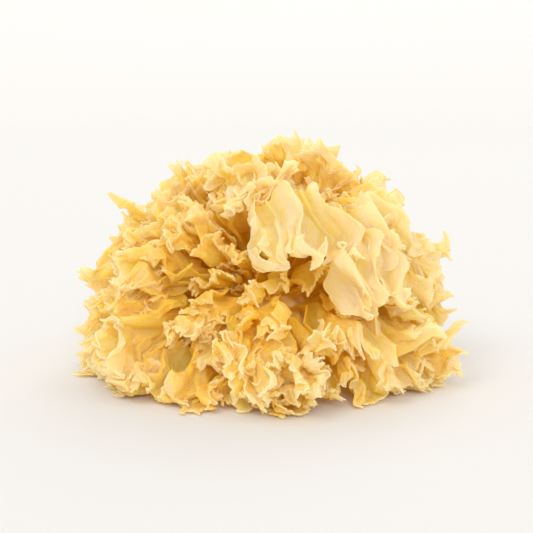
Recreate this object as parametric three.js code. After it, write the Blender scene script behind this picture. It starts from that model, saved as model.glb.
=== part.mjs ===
// A dried head of snow fungus, Tremella fuciformis: a small hard base, cut off flat, and a
// rosette of thin ruffled fronds that spread from it like a fountain.
// Millimetres, +Z up. The origin is the middle of the cut, and the front looks along -Y.
import * as THREE from "three";

const { degToRad, lerp, smoothstep } = THREE.MathUtils;

// Size of the head
const HEAD_RADIUS = 48; // mean, from the middle out to the rim's margins
const HEAD_HEIGHT = 57; // mean, from the cut to the crown's margins
const GROWTH_HEIGHT = 9; // the point that all fronds spread from, above the cut
const RIM_CLEARANCE = 1.2; // lowest frill above the surface that the head rests on

// Size of the base
const CUT_RADIUS = 14;
const BULGE_RADIUS = 17.5; // where the side's curve is drawn out to
const DOME_RADIUS = 15.5; // about the growth point
const PLEAT_DEPTH = 0.03; // share of the radius
const JOINT_GAP = 0.3; // between pieces, as each is its own closed body

// Size of a frond
const ROOT_RADIUS = DOME_RADIUS + 0.8; // a root's corners dip below its middle
const ROOT_THICKNESS = 0.8;
const MARGIN_THICKNESS = 0.7;
const ROOT_SPREAD = 0.84; // share of its cell's width that a frond takes up at the root
const MARGIN_SPREAD = 0.97; // and at the margin
const ROOT_DEPTH = 0.55; // share of its cell's depth that the folds take up at the root
const MARGIN_DEPTH = 0.97; // and at the margin
const MOST_STRETCH = 2.3; // how far folds are drawn out to fill the cell's depth
const FOLD_SWING = 1.3; // radians either way that the sheet's line turns in its folds
const FRILL_SWING = 0.7; // and in its frills
const FRILLS_PER_FOLD = 3.4;

// The rings of fronds, from the rim up: lean from upright, number, reach and turn
const RINGS = [
  { name: "rim_frond", lean: 87, count: 12, reach: HEAD_RADIUS, turn: 0.1 },
  { name: "side_frond", lean: 65, count: 11, reach: HEAD_RADIUS + 1, turn: 0.2 },
  { name: "shoulder_frond", lean: 42, count: 8, reach: HEAD_RADIUS, turn: 0.4 },
  { name: "crown_frond", lean: 17, count: 3, reach: HEAD_HEIGHT - GROWTH_HEIGHT, turn: 0.2 },
];
const LEAN_JITTER = 9; // degrees
const TURN_JITTER = 0.35; // share of the step round the ring
const REACH_JITTER = 0.2; // share of the reach
const SPIN_RANGE = 90; // degrees, of a frond about its own axis
const LOBE = 0.05; // share of the reach, in a margin's wide lobes
const OPENING_AT_ROOT = 0.58; // fronds leave the base bunched, and open out like a fountain

// Mesh fineness
const COLUMNS = 16;
const ROWS = 3;
const STEPS_PER_COLUMN = 16;
const STEPS = COLUMNS * STEPS_PER_COLUMN;
const UNDER_SIDE = 3; // a box's fourth side, which faces -Y
const BASE_SIDES = 36;

const FULL_TURN = 2 * Math.PI;
const LONGEST_REACH = (HEAD_RADIUS + 1) * (1 + REACH_JITTER / 2) * (1 + LOBE);
const FLOOR_LEAN = Math.PI / 2 + Math.asin((GROWTH_HEIGHT - RIM_CLEARANCE) / LONGEST_REACH);
const GROWTH_POINT = new THREE.Vector3(0, 0, GROWTH_HEIGHT);
const WIDEST_CELL = Math.tan(degToRad(24));
const CELL_ROUNDING = 8;
const RIM_SOFTNESS = 8; // higher packs folds closer to their cell's edge

// Two places on the front: a short frond leaves a hollow, and the other fronds are smooth
const HOLLOW = direction(degToRad(60), degToRad(-118));
const HOLLOW_DEPTH = 0.3; // share of the reach
const SMOOTH_PLACE = direction(degToRad(50), degToRad(-68));
const PLACE_TIGHTNESS = 14;

const frondMaterial = new THREE.MeshStandardMaterial({
  color: 0xf0d696,
  roughness: 0.55,
  metalness: 0,
});
const baseMaterial = new THREE.MeshStandardMaterial({
  color: 0xc98b3a,
  roughness: 0.7,
  metalness: 0,
});

// A repeatable chance value from 0 to 1 for frond i and property k
function chance(i, k) {
  const value = Math.abs(Math.sin(i * 12.9898 + k * 78.233) * 43758.5453);
  return value - Math.floor(value);
}

function direction(lean, around) {
  return new THREE.Vector3(
    Math.sin(lean) * Math.cos(around),
    Math.sin(lean) * Math.sin(around),
    Math.cos(lean),
  );
}

// 1 for a frond that points at the place, falling to 0 a few fronds away
function nearness(axis, place) {
  return Math.pow(Math.max(0, axis.dot(place)), PLACE_TIGHTNESS);
}

// The fronds: where each one points, how far it reaches and how it is turned
function layOutFronds() {
  const fronds = [];
  for (const ring of RINGS) {
    for (let place = 0; place < ring.count; place++) {
      const id = fronds.length;
      const jitter = (k) => chance(id, k) - 0.5;
      const lean = degToRad(ring.lean + LEAN_JITTER * jitter(1));
      const around = (FULL_TURN * (place + ring.turn + TURN_JITTER * jitter(2))) / ring.count;
      const axis = direction(lean, around);
      const tangent = new THREE.Vector3(0, 0, 1).cross(axis).normalize();
      const spin = degToRad(SPIN_RANGE * jitter(4));
      const hollowed = 1 - HOLLOW_DEPTH * nearness(axis, HOLLOW);
      fronds.push({
        name: ring.name + "_" + String(place + 1).padStart(2, "0"),
        axis,
        across: tangent.clone().applyAxisAngle(axis, spin),
        through: tangent.clone().applyAxisAngle(axis, spin + Math.PI / 2),
        floorTwin: direction(2 * FLOOR_LEAN - lean, around),
        reach: ring.reach * (1 + REACH_JITTER * jitter(3)) * hollowed,
        folds: 1.9 + 0.9 * chance(id, 5),
        calm: nearness(axis, SMOOTH_PLACE),
        phase: (k) => FULL_TURN * chance(id, 6 + k),
      });
    }
  }
  return fronds;
}

// The line of a frond's sheet in its cell, at growth t from root to margin. Its heading swings
// in folds and, further out, in frills, so its length grows faster than its width.
function sheetLine(frond, t) {
  const folds = FOLD_SWING * smoothstep(t, -0.05, 0.5);
  const frilled = smoothstep(t, 0.2 + 0.3 * frond.calm, 0.95) * (1 - 0.35 * frond.calm);
  const frills = FRILL_SWING * frilled;
  const line = [];
  let x = 0;
  let y = 0;
  for (let i = 0; i <= STEPS; i++) {
    const s = i / STEPS - 0.5;
    const w = s + 0.03 * Math.sin(9 * s + frond.phase(3));
    const drift = 0.5 * Math.sin(FULL_TURN * 0.7 * w + frond.phase(7));
    const wander = 1.3 * Math.sin(FULL_TURN * 1.3 * w + frond.phase(4)) + 0.8 * t;
    const turns = FULL_TURN * frond.folds * w;
    const heading =
      folds * Math.sin(turns + frond.phase(0) + drift) +
      frills * Math.sin(FRILLS_PER_FOLD * turns + frond.phase(1) + wander);
    x += Math.cos(heading);
    y += Math.sin(heading);
    line.push([x, y]);
  }
  return fitToCell(line, t).filter((point, i) => i % STEPS_PER_COLUMN === 0);
}

// Scales a line so that it fills its share of a round cell of radius 1
function fitToCell(line, t) {
  const [left, right] = extent(line.map((point) => point[0]));
  const [low, high] = extent(line.map((point) => point[1]));
  const half = (right - left) / 2;
  const stretch = Math.min(MOST_STRETCH, (0.95 * (right - left)) / (high - low));
  const opened = smoothstep(t, 0, 0.7);
  const spread = lerp(ROOT_SPREAD, MARGIN_SPREAD, opened);
  const depth = lerp(ROOT_DEPTH, MARGIN_DEPTH, opened);
  return line.map(([a, b]) => {
    const x = (spread * (a - (left + right) / 2)) / half;
    const rounding = Math.cbrt(1 - 0.9 * Math.min(1, Math.abs(x)) ** 3);
    const y = (depth * stretch * rounding * (b - (low + high) / 2)) / half;
    const squeeze = Math.pow(1 + Math.hypot(x, y) ** RIM_SOFTNESS, -1 / RIM_SOFTNESS);
    return [x * squeeze, y * squeeze];
  });
}

function extent(values) {
  return [Math.min(...values), Math.max(...values)];
}

// How far a frond's cell reaches from its axis on the heading (a, b), as a tangent. A cell
// ends half way to each neighbour, and half way to the frond's mirror image in the floor.
function cellReach(frond, fronds, a, b) {
  const toward = frond.across.clone().multiplyScalar(a).addScaledVector(frond.through, b);
  let crowding = Math.pow(1 / WIDEST_CELL, CELL_ROUNDING);
  const others = fronds.filter((other) => other !== frond).map((other) => other.axis);
  for (const other of [...others, frond.floorTwin]) {
    const nearing = Math.max(0, toward.dot(other)) / (1 - frond.axis.dot(other));
    crowding += Math.pow(nearing, CELL_ROUNDING);
  }
  return Math.pow(crowding, -1 / CELL_ROUNDING);
}

function opening(distance) {
  return lerp(OPENING_AT_ROOT, 1, smoothstep(distance, 8, 46));
}

function thicknessAt(t) {
  return lerp(ROOT_THICKNESS, MARGIN_THICKNESS, smoothstep(t, 0, 0.6));
}

// The points of a frond's middle sheet, row by row from root to margin
function sheetPoints(frond, fronds) {
  const rows = [];
  for (let row = 0; row <= ROWS; row++) {
    const t = 1 - Math.pow(1 - row / ROWS, 1.35);
    const points = sheetLine(frond, t).map(([x, y], column) => {
      const s = column / COLUMNS - 0.5;
      const lobe = 1 + LOBE * Math.sin(FULL_TURN * 1.3 * s + frond.phase(6));
      const distance = lerp(ROOT_RADIUS, frond.reach * lobe, t);
      const off = Math.hypot(x, y) || 1;
      const margin = (thicknessAt(t) / 2 + JOINT_GAP) / distance / opening(distance);
      const reach = Math.max(0, cellReach(frond, fronds, x / off, y / off) - margin);
      const ray = frond.axis
        .clone()
        .addScaledVector(frond.across, x * reach)
        .addScaledVector(frond.through, y * reach)
        .normalize();
      const lean = Math.acos(ray.z) * opening(distance);
      const point = direction(lean, Math.atan2(ray.y, ray.x)).multiplyScalar(distance);
      point.z += GROWTH_HEIGHT;
      return point;
    });
    rows.push(points);
  }
  return rows;
}

// A thin box, bent so that it follows the frond's sheet
function frondGeometry(frond, fronds) {
  const points = sheetPoints(frond, fronds);
  const sheet = new THREE.BoxGeometry(1, 1, 1, COLUMNS, 1, ROWS);
  const position = sheet.getAttribute("position");
  const step = (from, to) => to.clone().sub(from).normalize();
  for (let i = 0; i < position.count; i++) {
    const column = Math.round((position.getX(i) + 0.5) * COLUMNS);
    const row = Math.round((position.getZ(i) + 0.5) * ROWS);
    const line = points[row];
    const here = line[column];
    const along = new THREE.Vector3();
    if (column > 0) along.add(step(line[column - 1], here));
    if (column < COLUMNS) along.add(step(here, line[column + 1]));
    const outward = here.clone().sub(GROWTH_POINT);
    const half = (Math.sign(position.getY(i)) * thicknessAt(row / ROWS)) / 2;
    const point = here.clone().addScaledVector(outward.cross(along).normalize(), half);
    position.setXYZ(i, point.x, point.y, point.z);
  }
  matchDiagonals(sheet);
  sheet.computeVertexNormals();
  return sheet;
}

// Gives the under side's squares the same diagonals as the upper side's, so that both bend alike
function matchDiagonals(sheet) {
  const index = sheet.getIndex();
  const under = sheet.groups[UNDER_SIDE];
  for (let i = under.start; i < under.start + under.count; i += 6) {
    const [a, b, d, , c] = [0, 1, 2, 3, 4].map((k) => index.getX(i + k));
    [a, b, c, a, c, d].forEach((corner, k) => index.setX(i + k, corner));
  }
}

// The base: a flat cut, a bulging side with shallow pleats, and a dome for the fronds
function baseGeometry() {
  const profile = new THREE.Path();
  profile.moveTo(0, 0);
  profile.lineTo(CUT_RADIUS, 0);
  profile.quadraticCurveTo(BULGE_RADIUS, GROWTH_HEIGHT / 2, DOME_RADIUS, GROWTH_HEIGHT);
  profile.absarc(0, GROWTH_HEIGHT, DOME_RADIUS, 0, Math.PI / 2, false);
  const outline = profile.getPoints(3);
  outline[outline.length - 1].x = 0;
  const base = new THREE.LatheGeometry(outline, BASE_SIDES);
  base.rotateX(Math.PI / 2);
  const position = base.getAttribute("position");
  for (let i = 0; i < position.count; i++) {
    const x = position.getX(i);
    const y = position.getY(i);
    const pleat = 1 - PLEAT_DEPTH * (1 + Math.cos(RINGS[0].count * Math.atan2(y, x)));
    position.setXYZ(i, x * pleat, y * pleat, position.getZ(i));
  }
  base.computeVertexNormals();
  return base;
}

function named(name, geometry, material) {
  const mesh = new THREE.Mesh(geometry, material);
  mesh.name = name;
  return mesh;
}

const head = new THREE.Group();
const fronds = layOutFronds();
head.add(named("cut_base", baseGeometry(), baseMaterial));
for (const frond of fronds) {
  head.add(named(frond.name, frondGeometry(frond, fronds), frondMaterial));
}

export default head;
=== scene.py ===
import math

import bmesh
import bpy
import numpy as np
from mathutils import Matrix, Vector


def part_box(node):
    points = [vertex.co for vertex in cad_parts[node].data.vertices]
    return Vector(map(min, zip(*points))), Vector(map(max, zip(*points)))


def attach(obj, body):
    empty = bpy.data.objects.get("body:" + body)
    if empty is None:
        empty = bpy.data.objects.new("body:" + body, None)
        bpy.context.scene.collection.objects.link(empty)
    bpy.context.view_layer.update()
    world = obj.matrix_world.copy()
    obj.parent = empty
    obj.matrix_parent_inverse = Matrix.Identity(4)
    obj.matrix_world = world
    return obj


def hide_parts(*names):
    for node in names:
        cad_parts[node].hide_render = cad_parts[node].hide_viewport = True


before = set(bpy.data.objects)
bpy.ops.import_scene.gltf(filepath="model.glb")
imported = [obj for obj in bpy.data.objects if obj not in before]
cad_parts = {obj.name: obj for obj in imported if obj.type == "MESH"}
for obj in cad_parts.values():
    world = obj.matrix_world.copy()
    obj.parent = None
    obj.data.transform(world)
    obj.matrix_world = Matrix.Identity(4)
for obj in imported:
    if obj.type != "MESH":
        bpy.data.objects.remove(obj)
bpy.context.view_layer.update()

# The cut base
# The hard root of the head, dense amber tissue that the fronds grow out of. It was cut off flat
# from the wood, so its underside is a pale level cut, and pleats run up its side to the fronds.
MM = 0.001
FULL_TURN = 2 * math.pi
BASE_LOW, BASE_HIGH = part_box("cut_base")
BASE_RADIUS = (BASE_HIGH.x - BASE_LOW.x) / 2
GROWTH_HEIGHT = 9 * MM  # of the point that all fronds grow away from
BASE_SEGMENTS, BASE_RINGS = 120, 48
PLEATS, PLEAT_CROWDINGS = 24, 3
PLEAT_DEPTH = 0.05  # share of the radius
CUT_SKIN = 0.3 * MM  # height above the floor up to which the tissue is paler
CUT_PALENESS = 0.35
LEVEL_CUT = -0.9  # a face that points down more than this is the cut, and stays flat
BASE_TONES = ((0.3, (0.88, 0.55, 0.12)), (0.5, (0.95, 0.70, 0.24)), (0.72, (0.98, 0.82, 0.46)))


def new_material(name):
    """An empty node material, its nodes, its links and its output."""
    material = bpy.data.materials.new(name)
    material.use_nodes = True
    nodes = material.node_tree.nodes
    nodes.clear()
    return material, nodes, material.node_tree.links, nodes.new("ShaderNodeOutputMaterial")


def noise(nodes, links, vector, scale, detail=4):
    """The factor of a noise texture on that vector."""
    texture = nodes.new("ShaderNodeTexNoise")
    texture.inputs["Scale"].default_value = scale
    texture.inputs["Detail"].default_value = detail
    texture.inputs["Roughness"].default_value = 0.55
    links.new(vector, texture.inputs["Vector"])
    return texture.outputs["Fac"]


def math_value(nodes, links, operation, value, number):
    """The result of a math node on that value and a number."""
    step = nodes.new("ShaderNodeMath")
    step.operation = operation
    links.new(value, step.inputs[0])
    step.inputs[1].default_value = number
    return step.outputs[0]


def weighted_sum(nodes, links, shares):
    """The sum of values, each times its share."""
    total = None
    for value, share in shares:
        step = nodes.new("ShaderNodeMath")
        step.operation = "MULTIPLY_ADD"
        links.new(value, step.inputs[0])
        step.inputs[1].default_value = share
        step.inputs[2].default_value = 0
        if total is not None:
            links.new(total, step.inputs[2])
        total = step.outputs[0]
    return total


def ramp(nodes, links, factor, stops):
    """The colour of a ramp through (place, colour) stops."""
    colours = nodes.new("ShaderNodeValToRGB")
    points = colours.color_ramp.elements
    for point, (place, colour) in zip(points, (stops[0], stops[-1])):
        point.position = place
        point.color = (*colour, 1)
    for place, colour in stops[1:-1]:
        points.new(place).color = (*colour, 1)
    links.new(factor, colours.inputs["Fac"])
    return colours.outputs["Color"]


def bump(nodes, links, height, distance, strength, below=None):
    """A bump's normal, over the normal of the bump below it."""
    relief = nodes.new("ShaderNodeBump")
    relief.inputs["Distance"].default_value = distance
    relief.inputs["Strength"].default_value = strength
    links.new(height, relief.inputs["Height"])
    if below is not None:
        links.new(below, relief.inputs["Normal"])
    return relief.outputs["Normal"]


def base_material():
    """Stained matt tissue with a fine grain, paler on the cut."""
    material, nodes, links, output = new_material("dried_base")
    place = nodes.new("ShaderNodeTexCoord").outputs["Object"]
    height = nodes.new("ShaderNodeSeparateXYZ")
    links.new(place, height.inputs[0])
    cut_skin = math_value(nodes, links, "LESS_THAN", height.outputs["Z"], CUT_SKIN)
    stains = noise(nodes, links, place, scale=240)
    tone = weighted_sum(nodes, links, ((stains, 1), (cut_skin, CUT_PALENESS)))
    tissue = nodes.new("ShaderNodeBsdfPrincipled")
    tissue.inputs["Roughness"].default_value = 0.72
    links.new(ramp(nodes, links, tone, BASE_TONES), tissue.inputs["Base Color"])
    grain = noise(nodes, links, place, scale=1500, detail=6)
    links.new(bump(nodes, links, grain, distance=0.4 * MM, strength=0.6), tissue.inputs["Normal"])
    links.new(tissue.outputs[0], output.inputs["Surface"])
    return material


def add_piece(name, bm, material, slot, *nodes):
    """The finished mesh as a piece that stands for its CAD nodes."""
    mesh = bpy.data.meshes.new(name)
    bm.to_mesh(mesh)
    bm.free()
    mesh.materials.append(material)
    piece = bpy.data.objects.new(name, mesh)
    bpy.context.scene.collection.objects.link(piece)
    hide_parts(*nodes)
    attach(piece, "root")
    return piece


# A pleated ball, widest at the growth point, with its lower part cut off at the floor.
bm = bmesh.new()
bmesh.ops.create_uvsphere(bm, u_segments=BASE_SEGMENTS, v_segments=BASE_RINGS, radius=1)
for vert in bm.verts:
    around = math.atan2(vert.co.y, vert.co.x)
    pleat = math.sin(PLEATS * around + 3 * math.sin(PLEAT_CROWDINGS * around))
    vert.co = vert.co * (1 + PLEAT_DEPTH * (1 - vert.co.z ** 2) * pleat)
stretch = Matrix.Diagonal((BASE_RADIUS, BASE_RADIUS, BASE_HIGH.z - GROWTH_HEIGHT, 1))
bmesh.ops.transform(bm, matrix=Matrix.Translation((0, 0, GROWTH_HEIGHT)) @ stretch, verts=bm.verts)
cut = bmesh.ops.bisect_plane(
    bm,
    geom=bm.verts[:] + bm.edges[:] + bm.faces[:],
    plane_co=(0, 0, 0),
    plane_no=(0, 0, 1),
    clear_inner=True,
)
rim = [edge for edge in cut["geom_cut"] if isinstance(edge, bmesh.types.BMEdge)]
bmesh.ops.holes_fill(bm, edges=rim)
for face in bm.faces:
    face.smooth = face.normal.z > LEVEL_CUT
add_piece("cut_base_tissue", bm, base_material(), "base", "cut_base")

# The rim fronds
# The lowest ring of fronds: thin translucent membranes, dried crisp, that lie out along the floor.
# Each grows from the base as a narrow strap and spreads, folding, until its margin is far longer
# than its root. It is a blade, with lobes that branch off it and fill the hollows of its folds.
HEAD_RADIUS = 48 * MM
HEAD_HEIGHT = 57 * MM
RIM_CLEARANCE = 1.2 * MM

# All four rings are laid out here, because a frond's shape depends on its neighbours. A ring has
# its fronds' name, how far they lean from upright in degrees, their number, their reach, and how
# far round the ring starts, in steps.
RINGS = (
    ("rim_frond", 87, 12, HEAD_RADIUS, 0.1),
    ("side_frond", 65, 11, HEAD_RADIUS + 1 * MM, 0.2),
    ("shoulder_frond", 42, 8, HEAD_RADIUS, 0.4),
    ("crown_frond", 17, 3, HEAD_HEIGHT - GROWTH_HEIGHT, 0.2),
)
LEAN_JITTER, SPIN_JITTER = 9, 90  # degrees
TURN_JITTER = 0.35  # steps of the ring
REACH_JITTER = 0.2  # share of the reach
FEWEST_FOLDS, MORE_FOLDS = 1.9, 0.9
LEAN, TURN, REACH, SPIN, FOLDS = 1, 2, 3, 4, 5  # properties that chance gives


def chance(i, k):
    """A repeatable value from 0 to 1 for frond i and property k."""
    value = abs(math.sin(i * 12.9898 + k * 78.233) * 43758.5453)
    return value - math.floor(value)


def smoothstep(x, low, high):
    """0 up to low and 1 from high on, with a soft rise between them."""
    s = np.clip((x - low) / (high - low), 0, 1)
    return s * s * (3 - 2 * s)


def lerp(a, b, s):
    """The value that lies the share s of the way from a to b."""
    return a + (b - a) * s


def direction(lean, around):
    """The unit vector that leans that far from upright, turned that far around."""
    return Vector((math.sin(lean) * math.cos(around), math.sin(lean) * math.sin(around), math.cos(lean)))


# Places on the head where the growth differs, and how narrow each is: a hollow up to the left of
# the front, smooth membranes up to its right, and the crispest crumb low and a little to the left.
HOLLOW, HOLLOW_NARROWNESS = direction(math.radians(60), math.radians(-118)), 12
SMOOTH_PLACE, SMOOTH_NARROWNESS = direction(math.radians(50), math.radians(-68)), 9
CRISP_PLACE, CRISP_NARROWNESS = direction(math.radians(80), math.radians(-112)), 2.2
HOLLOW_DEPTH = 0.42  # share of its reach that a frond in the hollow lacks
EXTRA_FINENESS = 0.8  # how much tighter the frills of the crispest fronds are


def nearness(axis, place, narrowness):
    """1 for a frond that points at the place, less for those that point past it."""
    return max(0.0, axis.dot(place)) ** narrowness


BULGE = 0.05  # share of its reach by which a margin bulges
LONGEST_REACH = (HEAD_RADIUS + 1 * MM) * (1 + REACH_JITTER / 2) * (1 + BULGE)
# The lean at which the longest frond ends at its clearance above the floor.
FLOOR_LEAN = math.pi / 2 + math.asin((GROWTH_HEIGHT - RIM_CLEARANCE) / LONGEST_REACH)


def lay_out_fronds():
    """Where each frond points, how far it reaches and how it is turned, by name. Its floor twin
    is where its mirror image in the floor points."""
    fronds = {}
    for ring, lean_degrees, count, reach, start in RINGS:
        for step in range(count):
            i = len(fronds)
            lean = math.radians(lean_degrees + LEAN_JITTER * (chance(i, LEAN) - 0.5))
            around = FULL_TURN * (step + start + TURN_JITTER * (chance(i, TURN) - 0.5)) / count
            axis = direction(lean, around)
            spin = math.radians(SPIN_JITTER * (chance(i, SPIN) - 0.5))
            across = Matrix.Rotation(spin, 3, axis) @ Vector((0, 0, 1)).cross(axis).normalized()
            hollow = nearness(axis, HOLLOW, HOLLOW_NARROWNESS)
            crisp = nearness(axis, CRISP_PLACE, CRISP_NARROWNESS)
            full_reach = reach * (1 + REACH_JITTER * (chance(i, REACH) - 0.5))
            fronds["%s_%02d" % (ring, step + 1)] = {
                "seed": i,
                "axis": axis,
                "across": across,
                "through": axis.cross(across),
                "floor_twin": direction(2 * FLOOR_LEAN - lean, around),
                "reach": full_reach * (1 - HOLLOW_DEPTH * hollow),
                "folds": FEWEST_FOLDS + MORE_FOLDS * chance(i, FOLDS),
                "hollow": hollow,
                "calm": nearness(axis, SMOOTH_PLACE, SMOOTH_NARROWNESS),
                "crisp": crisp,
                "fineness": 1 + EXTRA_FINENESS * crisp,
            }
    return fronds


FRONDS = lay_out_fronds()
FOLD_SWING, FRILL_SWING, CRISP_SWING, CURL_SWING = 1.25, 1.2, 1.2, 1.35  # radians of heading
MOST_SWING = 2.3
FRILLS_PER_FOLD, CRISPS_PER_FOLD, CURLS_PER_FOLD = 3.3, 8.3, 15.7
STEPS_PER_COLUMN = 4
PHASES = 6  # the first of the eight properties that place a line's waves


def sheet_line(sheet, t):
    """The lines of a sheet in its cell, one row for each growth t. The heading swings in folds,
    and further out in frills, fine crisps and curls, and is held back so that the line doesn't
    coil up. Slower waves put the swings out of step, so that no two are alike. Calm sheets swing
    less, and crisp ones more tightly."""
    phase = [FULL_TURN * chance(sheet["seed"], PHASES + k) for k in range(8)]
    calm, crisp = sheet["calm"], sheet["crisp"]
    s = np.linspace(-0.5, 0.5, sheet["columns"] * STEPS_PER_COLUMN + 1)[None, :]
    w = s + 0.03 * np.sin(9 * s + phase[3])
    turns = FULL_TURN * sheet["folds"] * w
    tight = sheet["fineness"] * turns
    drift = 0.5 * np.sin(FULL_TURN * 0.7 * w + phase[7])
    wander = 1.3 * np.sin(FULL_TURN * 1.3 * w + phase[4]) + 0.8 * t
    stray = 2 * np.sin(FULL_TURN * 3.3 * w + phase[5]) + 2 * t
    askew = 7 * t * np.sin(FULL_TURN * 2.7 * w + phase[6])
    folded = FOLD_SWING * (1 - 0.2 * crisp) * smoothstep(t, -0.05, 0.5)
    frilled = FRILL_SWING * (1 - 0.5 * calm) * smoothstep(t, 0.2 + 0.3 * calm, 0.95)
    crisped = CRISP_SWING * (1 - 0.7 * calm) * smoothstep(t, 0.6 + 0.2 * calm, 1)
    curled = CURL_SWING * (1 - 0.6 * calm) * (1 + 0.4 * crisp) * smoothstep(t, 0.8 + 0.1 * calm, 1)
    heading = folded * np.sin(turns + phase[0] + drift)
    heading = heading + frilled * np.sin(FRILLS_PER_FOLD * tight + phase[1] + wander)
    heading = heading + crisped * np.sin(CRISPS_PER_FOLD * tight + phase[2] + stray + askew)
    heading = heading + curled * np.sin(CURLS_PER_FOLD * tight + phase[1] + 2 * (stray + askew))
    heading = MOST_SWING * np.tanh(heading / MOST_SWING)
    return fit_to_cell(np.cumsum(np.cos(heading), axis=1), np.cumsum(np.sin(heading), axis=1), t)


def centred(values):
    """Each row moved so that the middle of its range is 0."""
    return values - 0.5 * (values.max(axis=1, keepdims=True) + values.min(axis=1, keepdims=True))


# What a line takes up of its cell, across and in depth, at the root and at the margin.
ROOT_SPREAD, MARGIN_SPREAD = 0.84, 0.97
ROOT_DEPTH, MARGIN_DEPTH = 0.55, 0.97
FULL_SPREAD = 0.7  # growth from which a sheet takes up all that its margin does
DEPTH_FOR_WIDTH, MOST_STRETCH = 0.95, 2.3  # the depth that a line is stretched to, within reason
RIM_HARDNESS = 8  # the higher, the later a line is squeezed in at the rim of its cell


def fit_to_cell(x, y, t):
    """Scales the lines so that they fill their share of a round cell of radius 1, less deep
    toward their two ends, and squeezes them in softly at its rim."""
    x, y = centred(x), centred(y)
    half = x.max(axis=1, keepdims=True)
    stretch = np.minimum(MOST_STRETCH, DEPTH_FOR_WIDTH * half / y.max(axis=1, keepdims=True))
    spread = smoothstep(t, 0, FULL_SPREAD)
    x = x / half * lerp(ROOT_SPREAD, MARGIN_SPREAD, spread)
    rounding = np.cbrt(1 - 0.9 * np.minimum(1, np.abs(x)) ** 3)
    y = y / half * stretch * lerp(ROOT_DEPTH, MARGIN_DEPTH, spread) * rounding
    squeeze = (1 + np.hypot(x, y) ** RIM_HARDNESS) ** (-1 / RIM_HARDNESS)
    return (x * squeeze)[:, ::STEPS_PER_COLUMN], (y * squeeze)[:, ::STEPS_PER_COLUMN]


WIDEST_CELL = math.tan(math.radians(24))  # where no neighbour is near
CELL_SHARPNESS = 8  # the higher, the sharper the corners of a cell


def cell_reach(sheet, a, b):
    """How far a sheet's cell reaches on the heading (a, b), as a tangent: half way to each
    neighbouring frond, and half way to its own mirror image in the floor. A settled lobe has a
    round cell of its own."""
    if "cell" in sheet:
        return sheet["cell"]
    crowding = (1 / WIDEST_CELL) ** CELL_SHARPNESS
    others = [other["axis"] for other in FRONDS.values() if other["axis"] != sheet["axis"]]
    for other in others + [sheet["floor_twin"]]:
        toward = a * sheet["across"].dot(other) + b * sheet["through"].dot(other)
        crowding = crowding + (np.maximum(0, toward) / (1 - sheet["axis"].dot(other))) ** CELL_SHARPNESS
    return crowding ** (-1 / CELL_SHARPNESS)


OPENING_AT_ROOT = 0.58  # share of its lean that a frond has at the root
OPENING_START, OPENING_END = 8 * MM, 46 * MM


def opening(distance):
    """Fronds leave the base bunched, and open out like a fountain."""
    return lerp(OPENING_AT_ROOT, 1, smoothstep(distance, OPENING_START, OPENING_END))


def scallops(s, count, phase):
    """Rounded lobes with a notch between each two, from -1 in the notch to 0."""
    return np.abs(np.sin(math.pi * count * s + phase + 1.5 * np.sin(FULL_TURN * 1.7 * s + phase))) - 1


CORNER_ROUNDING = 0.15  # share of its reach that a sheet lacks at its two corners
# How many scallops of each size a margin has, and how deep they are as a share of the reach.
SCALLOPS = ((4.3, 0.06), (13, 0.035), (37, 0.022))
SMALLEST = len(SCALLOPS) - 1
BULGING, SCALLOPING = 12, 13  # properties that chance gives, the same as a line's last two phases


def margin_outline(sheet, s, t):
    """How far each place across a sheet reaches, as a share of its reach: a slow bulge all the way
    up, and near the margin rounded corners and scallops, the smallest tighter in crisp sheets."""
    bulge = 1 + BULGE * np.sin(FULL_TURN * 1.3 * s + FULL_TURN * chance(sheet["seed"], BULGING))
    edge = -CORNER_ROUNDING * np.abs(2 * s) ** 8
    for size, (count, depth) in enumerate(SCALLOPS):
        if size == SMALLEST:
            count = count * sheet["fineness"]
        edge = edge + depth * scallops(s, count, 5 * chance(sheet["seed"], SCALLOPING + size))
    return bulge + edge * np.maximum(0, t) ** 4


ROOT_RADIUS = 16.3 * MM
SHEET_THICKNESS = 0.34 * MM
SHEET_GAP = 0.15 * MM
TINY = 1e-9  # keeps a division from meeting 0


def sheet_points(sheet):
    """The points of a sheet, rows from root to margin by columns across. Its lines are laid round
    the sheet's axis, further out with each row, and half a wall and a gap inside its cell, unless
    it spills over the border."""
    row = np.linspace(0, 1, sheet["rows"] + 1)[:, None]
    t = lerp(sheet["start"], 1, 1 - (1 - row) ** sheet["gather"])
    s = np.linspace(-0.5, 0.5, sheet["columns"] + 1)[None, :]
    x, y = sheet_line(sheet, t)
    twist = sheet["twist"] * (1 - t)
    x, y = x * np.cos(twist) - y * np.sin(twist), x * np.sin(twist) + y * np.cos(twist)
    distance = lerp(ROOT_RADIUS, sheet["reach"] * margin_outline(sheet, s, t), t)
    off = np.hypot(x, y) + TINY
    clear = (SHEET_THICKNESS / 2 + SHEET_GAP) / distance / opening(distance)
    reach = np.maximum(0, cell_reach(sheet, x / off, y / off) - clear) * sheet["spill"]
    axis, across, through = (np.array(sheet[key]) for key in ("axis", "across", "through"))
    ray = axis + (x * reach)[..., None] * across + (y * reach)[..., None] * through
    ray = ray / np.linalg.norm(ray, axis=-1, keepdims=True)
    lean = np.arccos(np.clip(ray[..., 2], -1, 1)) * opening(distance)
    around = np.arctan2(ray[..., 1], ray[..., 0])
    flat = np.sin(lean) * distance
    height = np.cos(lean) * distance + GROWTH_HEIGHT
    points = np.stack((flat * np.cos(around), flat * np.sin(around), height), axis=-1)
    return warped(points, sheet["calm"])


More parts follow.
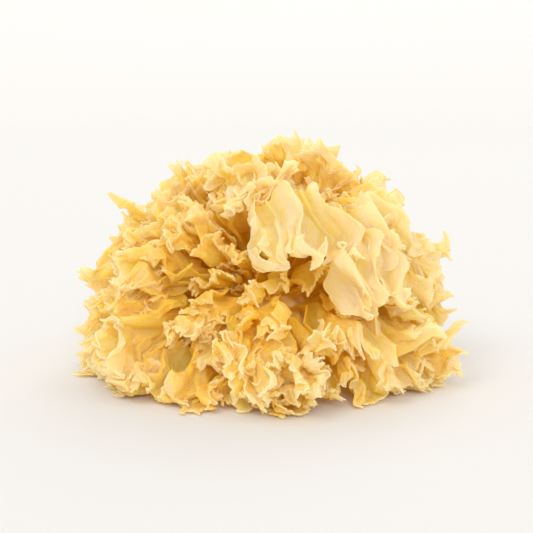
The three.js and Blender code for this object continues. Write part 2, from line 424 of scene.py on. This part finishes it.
# The length and depth of the waves in which all tissue wanders, and how far out they set in.
SLOW_WAVE, TIGHT_WAVE = (17 * MM, 1.3 * MM, 15 * MM), (7.5 * MM, 1.1 * MM, 26 * MM)
SETTING_IN = 16 * MM  # way out over which a wave comes to its full depth
FLOOR_GAP, FLOOR_SOFTNESS = 0.8 * MM, 1.2 * MM


def warped(points, calm):
    """Lets all the tissue wander together, slowly, and where it isn't calm in tighter bends toward
    the margins. The lowest of it settles on the floor."""
    for (length, depth, inner), share in ((SLOW_WAVE, 1), (TIGHT_WAVE, 1 - 0.8 * calm)):
        x, y, z = (FULL_TURN * points[..., k] / length for k in range(3))
        push = np.stack(
            (
                np.sin(1.1 * y + 0.4 * z + 1.0) + 0.5 * np.sin(2.1 * z - 1.3 * y + 0.3),
                np.sin(1.0 * z + 0.5 * x + 2.1) + 0.5 * np.sin(1.9 * x + 1.2 * z + 1.1),
                np.sin(0.9 * x - 0.6 * y + 0.5) + 0.5 * np.sin(2.2 * y + 1.1 * x + 2.9),
            ),
            axis=-1,
        )
        away = np.linalg.norm(points - np.array((0, 0, GROWTH_HEIGHT)), axis=-1)
        push = push * (share * depth * smoothstep(away, inner, inner + SETTING_IN))[..., None]
        points = points + push
    above = (points[..., 2] - FLOOR_GAP) / FLOOR_SOFTNESS
    points[..., 2] = FLOOR_GAP + FLOOR_SOFTNESS * np.logaddexp(0, above)
    return points


# The colour that a membrane shows, and the colour of the light that comes through it, from amber
# to cream. The amber is partly the tissue's own colour near the root and partly painted shade deep
# in the head's hollows. The cream is partly the thin margins' own colour and partly a painted
# highlight on edges and ridges.
SEEN_TONES = (
    (0.4, (1.0, 0.82, 0.08)),
    (0.52, (1.0, 0.89, 0.25)),
    (0.65, (1.0, 0.935, 0.56)),
    (0.78, (1.0, 0.955, 0.80)),
)
THROUGH_TONES = (
    (0.4, (1.0, 0.82, 0.07)),
    (0.55, (1.0, 0.89, 0.26)),
    (0.78, (1.0, 0.935, 0.64)),
)
# What makes a place creamy: patches and spots at random; nearness to the margin, partly the paler
# thin margin and partly a painted highlight on the edges and on a broad membrane's ridges; and
# distance from the root, partly the amber root tissue and partly painted shade deep in the head.
PATCH_SHARE, SPOT_SHARE, MARGIN_AND_HIGHLIGHT_SHARE, DISTANCE_AND_SHADE_SHARE = 0.29, 0.27, 0.23, 0.31
MARGIN_NARROWNESS = 4
VEINS = (90, 3, 1)  # noise scale across a sheet, along it, and in the depth that a UV map lacks
THROUGH_SHARE = 0.8  # of the light on a membrane that comes out on its other side


def frond_material():
    """A dry translucent membrane, with fine wrinkles and with veins that run out from the root."""
    material, nodes, links, output = new_material("dried_frond")
    place = nodes.new("ShaderNodeTexCoord").outputs["Object"]
    grown = nodes.new("ShaderNodeUVMap")
    grown.uv_map = "growth"
    split = nodes.new("ShaderNodeSeparateXYZ")
    links.new(grown.outputs["UV"], split.inputs[0])
    distance = nodes.new("ShaderNodeVectorMath")
    distance.operation = "DISTANCE"
    distance.inputs[1].default_value = (0, 0, GROWTH_HEIGHT)
    links.new(place, distance.inputs[0])
    # Painted light: a painted highlight toward the margins and ridges, and painted shade toward the
    # middle of the head, laid over the tissue's own tones.
    shares = (
        (noise(nodes, links, place, scale=130), PATCH_SHARE),
        (noise(nodes, links, place, scale=650, detail=2), SPOT_SHARE),
        (math_value(nodes, links, "POWER", split.outputs["Y"], MARGIN_NARROWNESS), MARGIN_AND_HIGHLIGHT_SHARE),
        (distance.outputs["Value"], DISTANCE_AND_SHADE_SHARE / HEAD_RADIUS),
    )
    creaminess_and_painted_light = weighted_sum(nodes, links, shares)
    skin = nodes.new("ShaderNodeBsdfPrincipled")
    skin.inputs["Roughness"].default_value = 0.45
    skin.inputs["Specular IOR Level"].default_value = 0.4
    links.new(ramp(nodes, links, creaminess_and_painted_light, SEEN_TONES), skin.inputs["Base Color"])
    glow = nodes.new("ShaderNodeBsdfTranslucent")
    links.new(ramp(nodes, links, creaminess_and_painted_light, THROUGH_TONES), glow.inputs["Color"])
    along = nodes.new("ShaderNodeVectorMath")
    along.operation = "MULTIPLY"
    along.inputs[1].default_value = VEINS
    links.new(grown.outputs["UV"], along.inputs[0])
    wrinkled = noise(nodes, links, place, scale=900, detail=5)
    wrinkles = bump(nodes, links, wrinkled, distance=0.35 * MM, strength=0.6)
    veined = noise(nodes, links, along.outputs[0], scale=1)
    veins = bump(nodes, links, veined, distance=0.6 * MM, strength=0.5, below=wrinkles)
    links.new(veins, skin.inputs["Normal"])
    links.new(veins, glow.inputs["Normal"])
    mix = nodes.new("ShaderNodeMixShader")
    mix.inputs["Fac"].default_value = THROUGH_SHARE
    links.new(skin.outputs[0], mix.inputs[1])
    links.new(glow.outputs[0], mix.inputs[2])
    links.new(mix.outputs[0], output.inputs["Surface"])
    return material


FROND_MATERIAL = frond_material()
CRUMPLE_DEPTH = 1.1 * MM
CRUMPLE = bpy.data.textures.new("crumple", "CLOUDS")
CRUMPLE.noise_scale = 2.4 * MM
CRUMPLE.noise_depth = 2


def add_sheet(bm, points, growth=None):
    """A grid bent through the rows and columns of points, and added to the frond's mesh. Its UV
    map holds the place across it and its growth, from 0 at the first row to 1 at the margin
    unless other growth is given, such as a broad membrane's growth with its painted highlight on
    the ridges. The vertex group sets how much it crumples."""
    rows, columns = points.shape[0] - 1, points.shape[1] - 1
    grid = bmesh.ops.create_grid(bm, x_segments=columns, y_segments=rows, size=0.5, calc_uvs=True)
    grown = bm.loops.layers.uv.active
    if growth is not None:
        for loop in (loop for vert in grid["verts"] for loop in vert.link_loops):
            place = loop[grown].uv
            place.y = growth[round(place.y * rows), round(place.x * columns)]
    margin = bm.verts.layers.deform.active
    for vert in grid["verts"]:
        column = round((vert.co.x + 0.5) * columns)
        row = round((vert.co.y + 0.5) * rows)
        vert.co = points[row, column]
        vert[margin][0] = (row / rows) ** 2


INSIDE_BASE = -0.12  # growth at a blade's end, inside the base
BLADE_COLUMNS, BLADE_ROWS = 185, 7
SMOOTH_COLUMNS, SMOOTH_ROWS = 180, 12
BLADE_GATHER = 1.5  # above 1, the rows lie closer together toward the margin
SMOOTH_CALM = 0.4  # calmer fronds than this are smooth
COVERED_SHARE = 0.2  # of their reach that blades lack in the smooth place
BLADE_TWIST, LOBE_TWIST = 0.7, 0.4  # radians from root to margin, half of it either way
TWIST, LOBE_REACH = 16, 17  # properties that chance gives


def blade_of(frond):
    """The frond's own sheet, a little shorter where smooth membranes cover it."""
    smooth = frond["calm"] > SMOOTH_CALM
    return {
        **frond,
        "start": INSIDE_BASE,
        "gather": BLADE_GATHER,
        "spill": 1,
        "twist": BLADE_TWIST * (chance(frond["seed"], TWIST) - 0.5),
        "columns": SMOOTH_COLUMNS if smooth else round(BLADE_COLUMNS * frond["fineness"]),
        "rows": SMOOTH_ROWS if smooth else BLADE_ROWS,
        "reach": frond["reach"] * (1 - COVERED_SHARE * smoothstep(frond["calm"], 0.1, 0.5)),
    }


LOBE_COLUMNS, LOBE_ROWS, MORE_ROWS = 195, 7, 3
LOBE_TURNS = (90, 36, 144, 0)  # degrees about the frond's axis, one for each of its lobes
LOBE_START = 0.48  # growth at which a lobe leaves the blade
LOBE_GATHER, MORE_GATHER = 1.3, 0.5
LOBE_SPILL, RIM_SPILL = 1.15, 1.35  # how far lobes reach between the neighbouring fronds
THIRD_LOBE, FOURTH_LOBE = 0.4, 0.8  # crispness from which a blade has them
LOBE_FOLDS = 1.3  # times the folds of the blade
LONGEST_LOBE, LOBE_JITTER = 0.99, 0.12  # shares of the blade's reach
BARE_SHARE = 0.25  # of their reach that lobes lack around the hollow and the smooth place
BARE_WIDENING = 0.78  # below 1, the bare place is wider than the smooth one
SEEDS_APART = 100  # between one lobe's random values and the next's


def lobes_of(frond, blade, spill):
    """The lobes that branch off a blade: one if it is smooth, and the more the crisper it is."""
    count = 2 + (frond["crisp"] > THIRD_LOBE) + (frond["crisp"] > FOURTH_LOBE)
    if frond["calm"] > SMOOTH_CALM:
        count = 1
    bare = max(frond["hollow"], frond["calm"] ** BARE_WIDENING)
    lobes = []
    for step in range(count):
        seed = frond["seed"] + SEEDS_APART * (step + 1)
        turn = Matrix.Rotation(math.radians(LOBE_TURNS[step]), 3, frond["axis"])
        shortened = LONGEST_LOBE - LOBE_JITTER * chance(seed, LOBE_REACH) - BARE_SHARE * bare
        lobes.append({
            **blade,
            "seed": seed,
            "start": LOBE_START,
            "gather": LOBE_GATHER + MORE_GATHER * frond["crisp"],
            "spill": spill,
            "columns": round(LOBE_COLUMNS * frond["fineness"]),
            "rows": LOBE_ROWS + round(MORE_ROWS * frond["crisp"]),
            "across": turn @ frond["across"],
            "through": turn @ frond["through"],
            "folds": frond["folds"] * LOBE_FOLDS,
            "twist": blade["twist"] + LOBE_TWIST * (chance(seed, TWIST) - 0.5),
            "reach": blade["reach"] * shortened,
        })
    return lobes


SETTLING_LOBE = 1  # the second lobe of each rim frond, counted from 0
SETTLED_LEAN, SETTLED_TURN = math.radians(101), math.radians(15)
SETTLED_CELL = math.tan(math.radians(19))
SETTLED_REACH = 47 * MM


def settle_between(lobe):
    """Turns a rim frond's lobe down to the floor, into the gap beside the frond."""
    around = math.atan2(lobe["axis"].y, lobe["axis"].x) + SETTLED_TURN
    lobe["axis"] = direction(SETTLED_LEAN, around)
    lobe["across"] = Vector((0, 0, 1)).cross(lobe["axis"]).normalized()
    lobe["through"] = lobe["axis"].cross(lobe["across"])
    lobe["reach"] = SETTLED_REACH
    lobe["cell"] = SETTLED_CELL
    lobe["spill"] = 1


def grow_frond(name, spill, *membranes):
    """A blade, its lobes and any broad membranes as thin sheets in one mesh, crumpled toward the
    margin and given their wall."""
    frond = FRONDS[name]
    bm = bmesh.new()
    bm.loops.layers.uv.new("growth")
    bm.verts.layers.deform.verify()
    blade = blade_of(frond)
    add_sheet(bm, sheet_points(blade))
    for step, lobe in enumerate(lobes_of(frond, blade, spill)):
        if step == SETTLING_LOBE and name.startswith("rim_frond"):
            settle_between(lobe)
        add_sheet(bm, sheet_points(lobe))
    for points, growth in membranes:
        add_sheet(bm, points, growth)
    piece = add_piece(name + "_membrane", bm, FROND_MATERIAL, "frond", name)
    piece.vertex_groups.new(name="margin")
    crumple = piece.modifiers.new("crumple", "DISPLACE")
    crumple.texture = CRUMPLE
    crumple.texture_coords = "LOCAL"
    crumple.strength = CRUMPLE_DEPTH
    crumple.mid_level = 0.5
    crumple.vertex_group = "margin"
    wall = piece.modifiers.new("wall", "SOLIDIFY")
    wall.thickness = SHEET_THICKNESS
    wall.offset = 0
    wall.use_even_offset = False


for name in [name for name in FRONDS if name.startswith("rim_frond")]:
    grow_frond(name, RIM_SPILL)

# The side fronds
# The next ring up: the same thin membrane, grown from the base above the rim fronds and leaning
# over them. To the right of the front one has a broad smooth membrane as well, that rises between
# the other fronds, bends over and lies down the front in ridges.

# How far each broad membrane leans at its root and at its margin and which way it faces, all in
# degrees, and half its width.
BROAD_MEMBRANES = {
    "side_frond_10": (48, 74, -50, 10 * MM),
    "shoulder_frond_07": (24, 58, -74, 13 * MM),
    "shoulder_frond_08": (30, 60, -36, 11 * MM),
    "crown_frond_03": (8, 34, -90, 9 * MM),
}
MEMBRANE_ROOT, MEMBRANE_REACH = 25 * MM, 44 * MM
MEMBRANE_COLUMNS, MEMBRANE_ROWS = 150, 42
BEND = 0.4  # growth at which a membrane has risen to its reach and lies down
NARROW_ROOT, FULL_WIDTH = 0.3, 0.65  # share of the width at the root, and growth at all of it
LARGE_NOTCHES, SMALL_NOTCHES = (2.6, 0.12), (9, 0.07)  # number, and depth as a share of the lean
RIDGES, RIDGE_HEIGHT = 2.4, 4.5 * MM
PLEATS_PER_RIDGE, PLEAT_HEIGHT = 3.1, 1.3 * MM
MEMBRANE_FRILLS, FRILL_DEPTH = 7.5, 2.2 * MM
TUCKED_EDGE = 5 * MM  # how far the two side edges tuck in
MEMBRANE_PHASES = 20  # the first of the five properties that place a membrane's waves


def creases(turns):
    """Sharp ridges with soft hollows between them, from 0 to 1."""
    return (1 - np.abs(np.sin(turns))) ** 1.6


def broad_membranes(name):
    """The points of a frond's broad membrane, if it has one, and its growth with a painted
    highlight in it. Sharp ridges fan out from its root, and its lower margin is frilled. The
    painted highlight makes its ridges and pleats as creamy as its margin, and leaves painted shade
    in the folds between them."""
    if name not in BROAD_MEMBRANES:
        return []
    root_lean, margin_lean, facing_degrees, half_width = BROAD_MEMBRANES[name]
    phase = [FULL_TURN * chance(FRONDS[name]["seed"], MEMBRANE_PHASES + k) for k in range(5)]
    t = np.linspace(0, 1, MEMBRANE_ROWS + 1)[:, None]
    s = np.linspace(-0.5, 0.5, MEMBRANE_COLUMNS + 1)[None, :]
    notched = 1
    for (count, depth), turned in ((LARGE_NOTCHES, phase[0]), (SMALL_NOTCHES, phase[1])):
        notched = notched + depth * scallops(s, count, turned)
    lean = np.radians(lerp(root_lean, margin_lean * notched, smoothstep(t, 0.1, 1)))
    fan = math.pi * RIDGES * s + phase[2] + 0.7 * np.sin(5 * t + 3 * s + phase[3])
    ridges = creases(fan)
    pleats = creases(PLEATS_PER_RIDGE * fan + 0.8 * np.sin(9 * t + 7 * s))
    pleats = pleats * (0.6 + 0.4 * np.sin(7 * s + 4 * t))
    relief = (RIDGE_HEIGHT * ridges + PLEAT_HEIGHT * pleats) * smoothstep(t, 0, BEND)
    wave = FULL_TURN * MEMBRANE_FRILLS * s + phase[4] + 2 * t
    wave = wave + 1.5 * np.sin(FULL_TURN * 1.3 * s + phase[1])
    frilled = FRILL_DEPTH * smoothstep(t, 0.72, 1)
    ripple = 0.4 * smoothstep(t, 0.8, 1) * np.sin(2.7 * wave + 5 * t)
    relief = relief + frilled * (np.sin(wave) + ripple) - TUCKED_EDGE * np.abs(2 * s) ** 5
    distance = lerp(MEMBRANE_ROOT, MEMBRANE_REACH, smoothstep(t, 0, BEND)) + relief
    half = half_width * lerp(NARROW_ROOT, 1, smoothstep(t, 0, FULL_WIDTH))
    aside = 2 * s * half + 0.7 * frilled * np.sin(2 * wave)
    facing = math.radians(facing_degrees)
    out = np.sin(lean) * distance
    x = out * math.cos(facing) - aside * math.sin(facing)
    y = out * math.sin(facing) + aside * math.cos(facing)
    z = np.cos(lean) * distance + GROWTH_HEIGHT
    # Painted highlight: the ridges and pleats are added to the growth, so the material paints them
    # creamy like the margin and leaves painted shade in the folds.
    growth = 0.42 + 0.38 * t + 0.5 * ridges + 0.3 * pleats + 0.4 * smoothstep(t, 0.75, 1)
    return [(warped(np.stack((x, y, z), axis=-1), calm=1), np.clip(growth, 0, 1))]


for name in [name for name in FRONDS if name.startswith("side_frond")]:
    grow_frond(name, LOBE_SPILL, *broad_membranes(name))

# The shoulder fronds
# The fronds above the sides, of the same membrane, that grow up and outward between the sides and
# the crown. The two to the right of the front end in broad smooth membranes that hang over the
# fronds below.
for name in [name for name in FRONDS if name.startswith("shoulder_frond")]:
    grow_frond(name, LOBE_SPILL, *broad_membranes(name))

# The crown fronds
# The last three fronds, of the same membrane, that stand up from the middle of the base and close
# the top of the head. The front one sends a broad membrane down over the middle of the front.
for name in [name for name in FRONDS if name.startswith("crown_frond")]:
    grow_frond(name, LOBE_SPILL, *broad_membranes(name))

# The studio
# A plain pale floor that curves up all round and is the background too, large soft lamps far off,
# and the camera a little above the front.
FLOOR_RADIUS, SWEEP_RADIUS = 0.9, 0.8
SWEEP_END = math.radians(60)
SWEEP_STEPS, FLOOR_STEPS = 16, 96
FLOOR_COLOUR = (0.66, 0.65, 0.635, 1)
bm = bmesh.new()
profile = [bm.verts.new((0, 0, 0))]
for step in range(SWEEP_STEPS + 1):
    turned = SWEEP_END * step / SWEEP_STEPS
    across = FLOOR_RADIUS + SWEEP_RADIUS * math.sin(turned)
    profile.append(bm.verts.new((across, 0, SWEEP_RADIUS * (1 - math.cos(turned)))))
lines = [bm.edges.new(ends) for ends in zip(profile, profile[1:])]
bmesh.ops.spin(
    bm,
    geom=profile + lines,
    axis=(0, 0, 1),
    cent=(0, 0, 0),
    angle=FULL_TURN,
    steps=FLOOR_STEPS,
    use_merge=True,
)
bmesh.ops.remove_doubles(bm, verts=bm.verts, dist=0.01 * MM)
bmesh.ops.recalc_face_normals(bm, faces=bm.faces)
for face in bm.faces:
    face.smooth = True
floor_mesh = bpy.data.meshes.new("floor")
bm.to_mesh(floor_mesh)
bm.free()
floor_material = bpy.data.materials.new("pale_floor")
floor_material.use_nodes = True
floor_paint = floor_material.node_tree.nodes["Principled BSDF"]
floor_paint.inputs["Base Color"].default_value = FLOOR_COLOUR
floor_paint.inputs["Roughness"].default_value = 0.9
floor_mesh.materials.append(floor_material)
floor = bpy.data.objects.new("floor", floor_mesh)
bpy.context.scene.collection.objects.link(floor)


def add_lamp(name, place, spread, strength):
    """A large soft lamp, far off on the line from the head through that place. Its spread is the
    angle that it takes up in the sky, in radians."""
    lamp = bpy.data.lights.new(name, "SUN")
    lamp.angle = spread
    lamp.energy = strength
    holder = bpy.data.objects.new(name, lamp)
    holder.location = place
    holder.rotation_euler = (-Vector(place)).to_track_quat("-Z", "Y").to_euler()
    bpy.context.scene.collection.objects.link(holder)


add_lamp("key_lamp", place=(-0.35, -0.4, 0.6), spread=0.5, strength=1.3)
add_lamp("front_lamp", place=(0.08, -0.6, 0.3), spread=0.4, strength=2.0)
add_lamp("back_lamp", place=(0.2, 0.6, 0.5), spread=0.6, strength=0.9)

world = bpy.data.worlds.new("studio")
bpy.context.scene.world = world
world.use_nodes = True
world.node_tree.nodes["Background"].inputs["Color"].default_value = (1, 0.98, 0.95, 1)
world.node_tree.nodes["Background"].inputs["Strength"].default_value = 1.35
bpy.context.scene.view_settings.view_transform = "Standard"
bpy.context.scene.view_settings.exposure = -0.58
bpy.context.scene.view_settings.gamma = 1.15

# Light goes through many membranes before it comes out of the hollows again.
light_paths = bpy.context.scene.cycles
light_paths.max_bounces = 32
light_paths.diffuse_bounces = 16
light_paths.transmission_bounces = 32

LOOK_AT = Vector((0, 0, 27 * MM))
CAMERA_RISE = math.radians(10)
CAMERA_DISTANCE = 0.325
camera = bpy.data.cameras.new("camera")
camera.lens = 85
camera_holder = bpy.data.objects.new("camera", camera)
back = Vector((0, -math.cos(CAMERA_RISE), math.sin(CAMERA_RISE)))
camera_holder.location = LOOK_AT + CAMERA_DISTANCE * back
camera_holder.rotation_euler = (-back).to_track_quat("-Z", "Y").to_euler()
bpy.context.scene.collection.objects.link(camera_holder)
bpy.context.scene.camera = camera_holder
